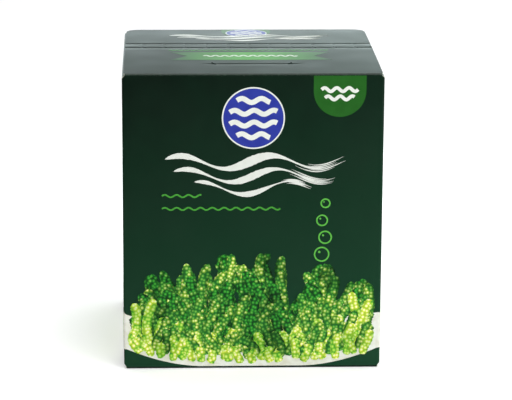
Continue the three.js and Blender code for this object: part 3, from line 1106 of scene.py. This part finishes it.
# ---- Print ------------------------------------------------------------------------------------------
class PrintSheet:
    """Ink shapes on one panel, gathered in one mesh. Each is a closed plate as thin as a heavy ink film."""

    SUNK = 0.03                # how far each plate reaches into the board
    FILM = 0.03                # height of the lowest ink film
    OVERPRINT = 0.006          # how much higher each further layer lies

    def __init__(
        self, name: str, panel: Panel | UprightFold, inks: Sequence[Finish], body: str = "root"
    ) -> None:
        """Starts an empty sheet of this name on a panel, which uses these inks and rides on a body."""
        self.name, self.panel, self.inks, self.body = name, panel, list(inks), body
        self.films: list[bpy.types.Mesh] = []

    def plate(self, loops: Iterable[Sequence[Point]], ink: Finish | None = None, layer: float = 0) -> None:
        """Prints a filled shape.

        Args:
            loops: its outlines, where one inside another is a hole.
            ink: its ink, or None for the sheet's first one.
            layer: its place in the order of printing.
        """
        bm = flat_mesh(loops)
        slice_both_ways(bm)
        self.lay_film(bm, ink or self.inks[0], layer)

    def line(self, path: Sequence[Point], half: float, ink: Finish | None = None, layer: float = 0) -> None:
        """Prints a line, such as a ripple, with the same half width all along."""
        self.plate([band_outline(path, lambda t: half)], ink, layer)

    def lay_film(self, bm: BMesh, ink: Finish, layer: float) -> None:
        """Gives a flat mesh its ink and the height of its layer, and keeps it for the sheet."""
        thicken(bm, -self.SUNK, self.FILM + self.OVERPRINT * layer)
        for face in bm.faces:
            face.material_index = self.inks.index(ink)
        self.films.append(to_mesh(bm, "film"))

    def strand(
        self, path: Sequence[Point], half_width: Callable[[float], float], ink: Finish, layer: float,
        unit: float,
    ) -> None:
        """Prints a strand of bladders along a line, with a UV map that counts bladders.

        Args:
            path: the points of the line, evenly spaced.
            half_width: half of its width at each share of the line.
            ink: its ink.
            layer: its place in the order of printing.
            unit: size of one bladder in millimetres.
        """
        last = len(path) - 1
        outline = band_outline(path, half_width)
        step = (Vector(path[1]) - Vector(path[0])).length / unit
        start = 7.3 * len(self.films)
        bm = bmesh.new()
        uv = bm.loops.layers.uv.new("strand")
        bmesh.ops.create_grid(bm, x_segments=last, y_segments=1, size=1.0)
        places = {v: (round((v.co.x + 1) / 2 * last), 1 if v.co.y > 0 else -1) for v in bm.verts}
        for vert, (i, side) in places.items():
            vert.co.xy = outline[i] if side > 0 else outline[-1 - i]
        for face in bm.faces:
            for corner in face.loops:
                i, side = places[corner.vert]
                corner[uv].uv = (start + i * step, side * half_width(i / last) / unit)
        self.lay_film(bm, ink, layer)

    def publish(self) -> bpy.types.Object:
        """Joins the films and puts them on the panel or the fold."""
        bm = joined(self.films)
        self.panel.place(bm)
        return publish(self.name, bm, self.inks, self.body)


@dataclass
class BrushedWaves:
    """Three long dry-brush swells, one under the other, in plain white. Their tails part into bristles."""

    middle: Point
    length: float
    height: float
    weight: float = 1.0        # how broad the strokes are
    swells: float = 1.9        # crests along the length

    def along(self, share: float, lift: float, t: float) -> Point:
        """Returns the place at t on a stroke, from 0 at its head to 1 at its tail and on past it."""
        u, v = self.middle
        turn = 2 * math.pi * self.swells * share * t + 2.2 * (1 - share)
        return u + self.length * share * (t - 0.5), v + self.height * (lift + 0.15 * math.sin(turn + 0.5))

    def stroke(self, share: float, lift: float, thick: float, rng: random.Random) -> list[list[Point]]:
        """Returns the outlines of one stroke: its body and the bristle marks that run on from its tail.

        Args:
            share: its length as a share of the whole motif's.
            lift: how far it lies over the motif's middle, as a share of the height.
            thick: its greatest width, as a share of the height.
            rng: draws the ragged edge and the bristles.
        """
        steps = 90
        path = [self.along(share, lift, 0.93 * k / steps) for k in range(steps + 1)]
        ragged = [1 + 0.07 * rng.uniform(-1, 1) for _ in path]

        def half_width(t: float) -> float:
            """Presses on in the swells, and tapers at both ends."""
            pressure = 0.62 + 0.38 * math.sin(2 * math.pi * self.swells * t + 1.4)
            ends = min(1.0, 7 * t, 3.2 * (1 - t)) ** 0.6
            return max(0.05, self.height * thick / 2 * pressure * ends * ragged[round(t * steps)])

        outlines = [band_outline(path, half_width)]
        for k in range(5):
            drop = self.height * thick * (0.36 - 0.18 * k)
            start, end = 0.74 + rng.uniform(0, 0.1), 0.97 + rng.uniform(0, 0.08)
            spots = [self.along(share, lift, start + (end - start) * i / 12) for i in range(13)]
            mark = [(u, v + drop) for u, v in spots]
            outlines.append(band_outline(mark, lambda t: max(0.03, 0.24 * math.sin(math.pi * t))))
        return outlines

    def print_as(self, name: str, panel: Panel, body: str = "root") -> None:
        """Prints the strokes as one piece."""
        sheet = PrintSheet(name, panel, [Finish.PAPER_INK], body)
        rng = random.Random(7)
        for share, lift, thick in ((1.0, 0.31, 0.21), (0.9, 0.0, 0.17), (0.66, -0.29, 0.13)):
            for layer, outline in enumerate(self.stroke(share, lift, thick * self.weight, rng)):
                sheet.plate([outline], layer=2 + 0.3 * layer)
        sheet.publish()


@dataclass
class Roundel:
    """A plain sea roundel: a blue disc with a thin white border, crossed by four white waves."""

    centre: Point
    radius: float

    def print_as(self, name: str, panel: Panel, body: str = "root") -> None:
        """Prints the white disc, then the blue one, then the waves, as one piece."""
        sheet = PrintSheet(name, panel, [Finish.WHITE_INK, Finish.BLUE_INK], body)
        u, v = self.centre
        sheet.plate([circle(self.centre, self.radius, 72)], layer=1)
        sheet.plate([circle(self.centre, self.radius * 0.955, 72)], Finish.BLUE_INK, 2)
        thick = self.radius * 0.082
        for share in (-0.57, -0.19, 0.19, 0.57):
            half = self.radius * math.sqrt(0.6 - share * share)
            start = (u - half, v + share * self.radius)
            sheet.line(ripple(start, 2 * half, thick * 0.8, self.radius * 0.62), thick, layer=3)
        sheet.publish()


def ripple(start: Point, length: float, height: float, wavelength: float) -> list[Point]:
    """Returns a wavy line that runs to the right from a start point."""
    steps = round(length / wavelength * 12)
    runs = [length * k / steps for k in range(steps + 1)]
    return [(start[0] + run, start[1] + height * math.sin(2 * math.pi * run / wavelength)) for run in runs]


def hanging_tab(centre_u: float, half: float, top: float, straight: float) -> list[Point]:
    """Returns a tab that hangs from an edge, runs straight at first and ends in a half round."""
    end = top - straight
    arc = [math.pi * k / 20 for k in range(21)]
    line = [(centre_u + half * math.cos(t), end - half * math.sin(t)) for t in arc]
    return [(centre_u - half, top), (centre_u + half, top), *line]


@dataclass(frozen=True)
class StrandRow:
    """One row of strands in the picture, printed from left to right."""

    ink: Finish
    count: int
    lengths: Point             # the shortest and the longest
    width: float
    rise: float                # how far their feet lie over the wall's bottom edge
    flare: float               # how much longer they are at the wall's ends, as a share
    layer: float               # place of the first one in the order of printing


@dataclass
class SeaGardenPicture:
    """A generic picture: upright strands of sea grapes that sway over a pale sandy shore.

    It fills the lower part of a wall. Tall dark strands stand behind and short bright ones in front.
    """

    half_u: float
    floor_v: float             # v of the wall's bottom edge
    density: float = 1.0
    seed: int = 3
    unit: float = 1.6          # size of one printed bladder

    ROWS = (
        StrandRow(Finish.DEEP_BEADS, 23, (34, 42), 4.8, 13.0, -0.7, 2.0),
        StrandRow(Finish.MID_BEADS, 25, (31, 38), 4.8, 11.0, -0.6, 6.0),
        StrandRow(Finish.DEEP_BEADS, 23, (26, 34), 4.6, 9.0, -0.6, 10.0),
        StrandRow(Finish.MID_BEADS, 25, (18, 28), 4.4, 8.0, -0.1, 14.0),
        StrandRow(Finish.BRIGHT_BEADS, 26, (10, 17), 4.4, 7.0, 1.5, 18.0),
        StrandRow(Finish.MID_BEADS, 24, (10, 17), 4.2, 5.0, 0.6, 22.0),
        StrandRow(Finish.BRIGHT_BEADS, 25, (6, 11), 4.0, 3.0, 0.9, 26.0),
    )

    def ground(self, u: float) -> float:
        """Returns the height of the bank's foot at a place. It rises at both ends of the wall."""
        return self.floor_v + 1.0 + 8.0 * max(0.0, abs(u) / self.half_u / 0.6 - 0.667) ** 1.8

    def ceiling(self, u: float) -> float:
        """Returns the height over which no strand grows."""
        return self.floor_v + 52.0 - 15.0 * (u / self.half_u) ** 2

    def shore(self, u: float) -> float:
        """Returns the height of the bank's upper edge at a place."""
        return self.floor_v + 17.0 + 9.0 * (u / self.half_u) ** 2 + 1.3 * math.sin(u / 6.0 + 1)

    def bank(self, u: float) -> Point:
        """Returns the heights of the bank's foot and upper edge at a place."""
        return self.ground(u), self.shore(u)

    def print_on(self, sheet: PrintSheet) -> None:
        """Prints the bank, then the strands from the back row to the front one."""
        rng = random.Random(self.seed)
        steps = [-self.half_u + 2 * self.half_u * k / 40 for k in range(41)]
        upper = [(u, self.shore(u)) for u in steps]
        lower = [(u, self.ground(u)) for u in reversed(steps)]
        sheet.plate([upper + lower], Finish.SHORE, 1)
        for row in self.ROWS:
            self.row(sheet, rng, row)

    def row(self, sheet: PrintSheet, rng: random.Random, row: StrandRow) -> None:
        """Prints one row of strands."""
        count = round(row.count * self.density)
        for k in range(count):
            u = self.half_u * (2 * (k + 0.5) / count - 1) + rng.uniform(-1.5, 1.5)
            crown = 1 + row.flare * ((u / self.half_u) ** 2 - 0.25)
            length = rng.uniform(*row.lengths) * crown
            foot = 5.5 * (abs(u) / self.half_u) ** 3
            base = (u, self.floor_v + foot + row.rise + rng.uniform(-1.0, 1.0))
            self.strand(sheet, rng, base, length, row, row.layer + 4.0 * k / count)

    def strand(
        self, sheet: PrintSheet, rng: random.Random, base: Point, length: float, row: StrandRow,
        layer: float,
    ) -> None:
        """Prints one swaying strand, with a scalloped outline and a round tip.

        Args:
            sheet: the sheet to print on.
            rng: draws how the strand leans and sways.
            base: where it grows from.
            length: how long it would be if nothing cut it short.
            row: the row that it is in.
            layer: its place in the order of printing.
        """
        step = self.unit / 2
        lean = rng.uniform(-0.5, 0.5) - 0.25 * base[0] / self.half_u
        sway, phase = rng.uniform(0.25, 0.7), rng.uniform(0, 2 * math.pi)
        path = [base]
        for i in range(round(length / step)):
            share = i * step / length
            heading = math.pi / 2 + lean * (0.3 + share) + sway * math.sin(phase + 4.2 * share)
            u = path[-1][0] + step * math.cos(heading)
            if abs(u) > self.half_u - row.width / 2 - 0.3 or path[-1][1] > self.ceiling(u):
                break
            path.append((u, path[-1][1] + step * math.sin(heading)))
        if len(path) < 8:
            return
        last = len(path) - 1

        def half_width(share: float) -> float:
            """Follows the bladders at the side, a thinner foot and the round tip."""
            bumps = 0.86 + 0.14 * abs(math.sin(math.pi * share * last * step / self.unit))
            tip = max(0.0, (share - 0.88) / 0.12)
            foot = min(1.0, 0.55 + 4 * share)
            return max(0.08, row.width / 2 * bumps * foot * math.sqrt(max(0.0, 1 - tip * tip)))

        sheet.strand(path, half_width, row.ink, layer, self.unit)


@dataclass
class Artwork:
    """All of the print over the flood colour. Nothing on it is lettering or a mark."""

    tab_half: float = 11.25

    def build(self) -> None:
        """Prints every panel."""
        self.front()
        self.rear_of_top()
        self.front_of_top()
        for turn, name in ((1, "right"), (3, "left")):
            self.side(turn, name)
        self.back()

    def front(self) -> None:
        """Prints the front wall."""
        wall = PLAN.wall(0)
        low, high = -wall.half_v, wall.half_v
        sheet = PrintSheet("front_green_tab", wall, [Finish.TAB_GREEN, Finish.WHITE_INK])
        sheet.plate([hanging_tab(36.9, self.tab_half, high - 0.95, 6.7)])
        for k in range(2):
            start = (29.0 + 1.5 * k, high - 7.0 - 3.6 * k)
            sheet.line(ripple(start, 15.6 - 3.0 * k, 0.8, 5.2), 0.75, Finish.WHITE_INK, 1)
        sheet.publish()
        Roundel((0.0, low + 112.2), 13.5).print_as("front_roundel", wall)
        BrushedWaves((-0.8, low + 87.0), 74.0, 19.0).print_as("front_brushed_waves", wall)
        sheet = PrintSheet("front_ripple_rules", wall, [Finish.RULE_GREEN])
        for v, length in ((78.0, 17.0), (72.3, 51.0)):
            sheet.line(ripple((-39.2, low + v), length, 0.55, 5.1), 0.36)
        sheet.publish()
        sheet = PrintSheet("front_bubble_column", wall, [Finish.LIGHT_GREEN])
        for k, radius in enumerate((2.2, 2.6, 3.0, 3.4)):
            centre = (30.6 + 0.7 * (-1) ** k, low + 74.5 - 7.6 * k)
            sheet.plate([circle(centre, radius), circle(centre, radius - 0.65)])
            glint = (centre[0] - radius * 0.3, centre[1] + radius * 0.3)
            sheet.plate([circle(glint, radius * 0.16, 12)])
        sheet.publish()
        self.garden(0, "front")

    def rear_of_top(self) -> None:
        """Prints the rear part of the top, which lifts with the lid."""
        top = PLAN.top()
        sheet = PrintSheet("top_green_tab", top, [Finish.TAB_GREEN], "lid")
        sheet.plate([hanging_tab(0.0, self.tab_half, PLAN.rear_end - 0.1, 6.5)])
        sheet.publish()
        Roundel((0.0, 40.8), 9.5).print_as("top_roundel", top, "lid")
        BrushedWaves((-0.4, 28.8), 70.0, 15.5, weight=1.45).print_as("top_brushed_waves", top, "lid")

    def front_of_top(self) -> None:
        """Prints the front part of the top, which lifts with the front flap."""
        top = PLAN.top()
        sheet = PrintSheet("top_ripple_rule", top, [Finish.RULE_GREEN], "front_flap")
        sheet.line(ripple((-35.6, -1.1), 70.6, 0.6, 2.8), 0.4)
        sheet.publish()
        sheet = PrintSheet("top_ribbon", top, [Finish.RIBBON, Finish.PAPER_INK], "front_flap")
        half, high, low, notch = 35.3, -5.7, -22.6, 7.5
        middle = (high + low) / 2
        swallow = [(-half, low), (half, low), (half - notch, middle), (half, high)]
        sheet.plate([[*swallow, (-half, high), (-half + notch, middle)]])
        sheet.line(ripple((-20.5, middle + 0.3), 41.0, 1.2, 4.1), 0.6, Finish.PAPER_INK, 1)
        sheet.publish()

    def side(self, turn: int, name: str) -> None:
        """Prints a side wall: the garden goes on, sparser, below a plain pale panel."""
        wall = PLAN.wall(turn)
        sheet = PrintSheet(f"{name}_pale_panel", wall, [Finish.PAPER_INK, Finish.RULE_GREEN])
        sheet.plate([rounded([(-36, 4, 4), (36, 4, 4), (36, 46, 4), (-36, 46, 4)])])
        for k, length in enumerate((58.0, 58.0, 58.0, 58.0, 34.0)):
            sheet.line(ripple((-29.0, 38 - 7.0 * k), length, 0.35, 3.4), 0.3, Finish.RULE_GREEN, 1)
        sheet.publish()
        self.garden(turn, name, density=0.7, seed=10 + turn)

    def back(self) -> None:
        """Prints the back wall like the front one, with no tab and no roundel."""
        wall = PLAN.wall(2)
        low = -wall.half_v
        BrushedWaves((0.0, low + 104.0), 74.0, 20.0).print_as("back_brushed_waves", wall)
        sheet = PrintSheet("back_ripple_rules", wall, [Finish.RULE_GREEN])
        for v, length in ((90.0, 60.0), (84.5, 60.0), (79.0, 36.0)):
            sheet.line(ripple((-30.0, low + v), length, 0.5, 3.4), 0.36)
        sheet.publish()
        self.garden(2, "back", density=0.8, seed=31)

    @staticmethod
    def garden(turn: int, name: str, density: float = 1.0, seed: int = 3) -> None:
        """Prints the picture on a wall, and its bank round the fold at the wall's right end.

        Args:
            turn: which wall, as in CartonPlan.wall.
            name: the wall's name.
            density: how many strands it has, as a share of the front wall's.
            seed: draws the strands.
        """
        wall, beside = PLAN.wall(turn), PLAN.wall((turn + 1) % 4)
        inks = [Finish.SHORE, Finish.DEEP_BEADS, Finish.MID_BEADS, Finish.BRIGHT_BEADS]
        sheet = PrintSheet(f"{name}_sea_garden", wall, inks)
        picture = SeaGardenPicture(wall.half_u - PLAN.corner, -wall.half_v, density, seed)
        picture.print_on(sheet)
        sheet.publish()
        fold = UprightFold(wall, PLAN.corner)
        following = SeaGardenPicture(beside.half_u - PLAN.corner, -wall.half_v)
        near, far = picture.bank(picture.half_u), following.bank(-following.half_u)
        bm = bmesh.new()
        bmesh.ops.create_grid(bm, x_segments=6, y_segments=6, size=0.5)
        for vert in bm.verts:
            across, over = vert.co.x + 0.5, vert.co.y + 0.5
            low, high = (a + (b - a) * across for a, b in zip(near, far))
            vert.co = (fold.length * across, low + (high - low) * over, 0)
        sheet = PrintSheet(f"{name}_bank_round_fold", fold, [Finish.SHORE])
        sheet.lay_film(bm, Finish.SHORE, 1)
        sheet.publish()


# ---- Sachets ----------------------------------------------------------------------------------------
@dataclass
class Sachet:
    """One flat pouch of clear film, crimped at its ends, full of brined strands."""

    number: int
    seal: float = 8.0
    film: float = 0.6
    columns: int = 30
    rows: int = 48
    strands: int = 27
    whorls: int = 34           # on one strand
    whorl_pitch: float = 1.75
    whorl_twist: float = 0.9   # radians from one whorl to the next
    whorl_across: float = 1.15     # from the stem to a bladder's middle, along the film
    whorl_through: float = 0.9     # the same towards the film
    whorl_sunk: float = 0.4    # how far the stem lies below the film's reach
    bladders: int = 3          # in one whorl
    bladder: float = 1.15      # radius of one
    margin_x: float = 2.0      # least distance from the strands to the sides, past the seal's width
    margin_z: float = 4.0      # least distance from the strands to the two seals

    def __post_init__(self) -> None:
        """Reads the pouch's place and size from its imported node, in millimetres."""
        low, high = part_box(f"sachet_{self.number}")
        self.middle = (low + high) / 2 / MM
        self.half = (high - low) / 2 / MM
        self.rng = random.Random(100 + self.number)
        self.lean = [self.rng.uniform(0, 2 * math.pi) for _ in range(4)]

    def half_thickness(self, x: float, z: float) -> float:
        """Returns half of the pouch's thickness at a place from its middle."""
        across = min(1.0, abs(x) / (self.half.x - self.seal * 0.55))
        upright = min(1.0, abs(z) / (self.half.z - self.seal))
        belly = ((1 - across ** 3) * (1 - upright ** 4)) ** 0.6
        return self.film / 2 + (self.half.y - self.film / 2) * belly

    def wrinkle(self, x: float, z: float) -> float:
        """Returns the film's pleats, which run out of the seals and fade towards the belly."""
        a, b, c, d = self.lean
        near_end = min(1.0, max(0.0, (abs(z) / self.half.z - 0.45) / 0.4)) * (1 - abs(z) / self.half.z) * 3
        pleat = math.sin(x * 0.55 + 1.6 * math.sin(x * 0.13 + a) + b)
        slow = math.sin(x * 0.11 + z * 0.08 + c) * math.sin(z * 0.09 - x * 0.05 + d)
        return 0.5 * near_end * pleat + 0.35 * slow

    def crimp(self, z: float) -> float:
        """Returns the fine ribs that the sealing bars press into both ends."""
        inside = abs(z) > self.half.z - self.seal + 1
        return 0.18 * math.sin(2 * math.pi * z / 1.6) if inside else 0.0

    def build(self) -> None:
        """Builds the pouch and what is in it."""
        self.build_pouch()
        self.build_strands()

    def build_pouch(self) -> None:
        """Builds the film as one closed pillow."""
        bm = bmesh.new()
        bmesh.ops.create_grid(bm, x_segments=self.columns, y_segments=self.rows, size=1.0)
        front = bm.faces[:]
        bmesh.ops.scale(bm, verts=bm.verts, vec=(self.half.x, self.half.z, 1))
        grown = bmesh.ops.extrude_face_region(bm, geom=front)["geom"]
        raised = set(of_kind(grown, bmesh.types.BMVert))
        for vert in bm.verts:
            x, z = vert.co.x, vert.co.y
            side = 1 if vert in raised else -1
            thick = self.half_thickness(x, z)
            soft = min(1.0, (thick - self.film / 2) / 2)
            y = side * (thick - 0.35 * soft) + self.wrinkle(x, z) * soft * 0.7 + self.crimp(z)
            limit = self.half.y
            vert.co = (self.middle + Vector((x, max(-limit, min(limit, y)), z))) * MM
        bmesh.ops.recalc_face_normals(bm, faces=bm.faces)
        node = f"sachet_{self.number}"
        publish(f"{node}_pouch", bm, [Finish.FILM], replaces=[node])

    def build_strands(self) -> None:
        """Fills the pouch with strands that wander over both faces of the filling."""
        bm = joined(to_mesh(self.strand(1 if k % 2 else -1), "strand") for k in range(self.strands))
        bmesh.ops.scale(bm, verts=bm.verts, vec=(MM, MM, MM))
        publish(f"sachet_{self.number}_sea_grapes", bm, [Finish.FLESH], smooth_below=180)

    def strand(self, side: int) -> BMesh:
        """Returns one wandering strand of whorls in millimetres, behind the front film or the back one."""
        bm = bmesh.new()
        reach_x, reach_z = self.half.x - self.seal - self.margin_x, self.half.z - self.seal - self.margin_z
        x = self.rng.uniform(-0.9, 0.9) * reach_x
        z = self.rng.uniform(-0.95, 0.95) * reach_z
        heading = self.rng.uniform(0, 2 * math.pi)
        for step in range(self.whorls):
            heading += self.rng.uniform(-0.35, 0.35)
            x += self.whorl_pitch * math.cos(heading)
            z += self.whorl_pitch * math.sin(heading)
            if abs(x) > reach_x or abs(z) > reach_z:
                heading += math.pi * 0.8
                x = max(-reach_x, min(reach_x, x))
                z = max(-reach_z, min(reach_z, z))
            self.whorl(bm, side, x, z, heading, step)
        return bm

    def whorl(self, bm: BMesh, side: int, x: float, z: float, heading: float, step: int) -> None:
        """Sets a whorl of bladders round the stem at one place, if the pouch has room for it there."""
        room = self.half_thickness(x, z) - 2 * self.bladder - 0.9
        if room < 0:
            return
        for j in range(self.bladders):
            turn = 2 * math.pi * j / self.bladders + self.whorl_twist * step
            off, out = self.whorl_across * math.cos(turn), self.whorl_through * math.sin(turn)
            across, over = x - off * math.sin(heading), z + off * math.cos(heading)
            through = side * (room + out - self.whorl_sunk)
            place = Matrix.Translation(self.middle + Vector((across, through, over)))
            radius = self.bladder * self.rng.uniform(0.85, 1.1)
            bmesh.ops.create_icosphere(bm, subdivisions=1, radius=radius, matrix=place)


# ---- Studio -----------------------------------------------------------------------------------------
@dataclass
class Studio:
    """A pale floor, soft white light and the camera."""

    lens: float = 168.75
    place: Point3 = (-0.0395, -1.0496, 0.3375)
    pitch: float = 14.66       # degrees that the camera looks down
    yaw: float = 2.34          # degrees that it looks to the right
    roll: float = 0.33
    floor_radius: float = 4.0

    def build(self) -> None:
        """Builds the floor, the lights and the camera."""
        bpy.context.scene.view_settings.view_transform = "Standard"
        self.build_camera()
        self.build_floor()
        self.build_lights()

    def build_camera(self) -> None:
        """Aims a long lens at the carton."""
        data = bpy.data.cameras.new("camera")
        data.lens, data.sensor_width = self.lens, 36.0
        camera = bpy.data.objects.new("camera", data)
        down, aside, tilt = (math.radians(a) for a in (self.pitch, self.yaw, self.roll))
        level_ahead = Vector((math.sin(aside), math.cos(aside), 0))
        ahead = level_ahead * math.cos(down) - Z * math.sin(down)
        level = Vector((math.cos(aside), -math.sin(aside), 0))
        over = level.cross(ahead)
        right = level * math.cos(tilt) + over * math.sin(tilt)
        up = over * math.cos(tilt) - level * math.sin(tilt)
        turn = Matrix((right, up, -ahead)).transposed().to_4x4()
        camera.matrix_world = Matrix.Translation(self.place) @ turn
        bpy.context.scene.collection.objects.link(camera)
        bpy.context.scene.camera = camera

    def build_floor(self) -> None:
        """Lays a large white floor that glossy surfaces don't mirror, and a mirror card under it."""
        recipe = Recipe("studio_floor")
        matt = recipe.add("BsdfDiffuse", {"Color": linear("#f7f7f7")})
        glow = recipe.add("Emission", {"Strength": 0.25})
        both = recipe.add("AddShader", {0: matt.outputs[0], 1: glow.outputs[0]})
        floor = self.disc("studio_floor", -0.00005, recipe.surface(both))
        floor.visible_glossy = False
        recipe = Recipe("studio_mirror_card")
        away = recipe.add("VectorMath", {0: recipe.place}, operation="LENGTH").outputs["Value"]
        strength = recipe.span(away, 0.06, 0.4, 0.055, 0.015)
        shine = recipe.add("Emission", {"Strength": strength})
        card = self.disc("studio_mirror_card", -0.002, recipe.surface(shine))
        card.visible_camera = card.visible_diffuse = card.visible_shadow = False

    def disc(self, name: str, height: float, material: Material) -> bpy.types.Object:
        """Makes a level disc that belongs to the studio."""
        bm = bmesh.new()
        bmesh.ops.create_circle(bm, cap_ends=True, segments=64, radius=self.floor_radius)
        bmesh.ops.translate(bm, verts=bm.verts, vec=(0, 0, height))
        mesh = to_mesh(bm, name)
        mesh.materials.append(material)
        disc = bpy.data.objects.new(name, mesh)
        bpy.context.scene.collection.objects.link(disc)
        return disc

    def build_lights(self) -> None:
        """Sets the soft boxes and the light of the room."""
        world = bpy.data.worlds.new("room")
        world.use_nodes = True
        background = world.node_tree.nodes["Background"].inputs
        background["Color"].default_value = (1, 1, 1, 1)
        background["Strength"].default_value = 0.05
        bpy.context.scene.world = world
        SoftBox("key_box", (0.7, -1.3, 1.2), 1.2, 1.2, 16.5).build()
        SoftBox("fill_box", (-1.0, -0.9, 0.9), 1.2, 1.2, 3.5).build()
        SoftBox("right_box", (1.75, -0.45, 0.38), 2.8, 1.1, 16, (0.84, 1.0, 0.92)).build()
        SoftBox("overhead_box", (0.0, 0.3, 1.9), 2.2, 2.2, 34).build()
        SoftBox("back_box", (0.17, 0.34, 0.16), 0.95, 0.1, 0.85, (0.85, 0.99, 1.0)).build()


@dataclass(frozen=True)
class SoftBox:
    """One rectangular soft light that faces the carton."""

    name: str
    place: Point3
    width: float
    height: float
    watts: float
    tint: Point3 = (1.0, 1.0, 1.0)

    def build(self) -> None:
        """Hangs the light."""
        data = bpy.data.lights.new(self.name, "AREA")
        data.shape = "RECTANGLE"
        data.size, data.size_y, data.energy, data.color = self.width, self.height, self.watts, self.tint
        light = bpy.data.objects.new(self.name, data)
        light.location = self.place
        aim = Z * PLAN.height * MM / 2 - Vector(self.place)
        light.rotation_mode = "QUATERNION"
        light.rotation_quaternion = aim.to_track_quat("-Z", "Y")
        light.visible_camera = False
        bpy.context.scene.collection.objects.link(light)


def main() -> None:
    """Builds the studio and the carton in order; each piece logs its face count as it is made."""
    logging.basicConfig(level=logging.INFO, format="%(name)s: %(message)s")
    Studio().build()
    Sleeve().build()
    build_folds()
    TopClosure().build()
    Bottom().build()
    Artwork().build()
    for number in range(1, 6):
        Sachet(number).build()


if __name__ == "__main__":
    main()
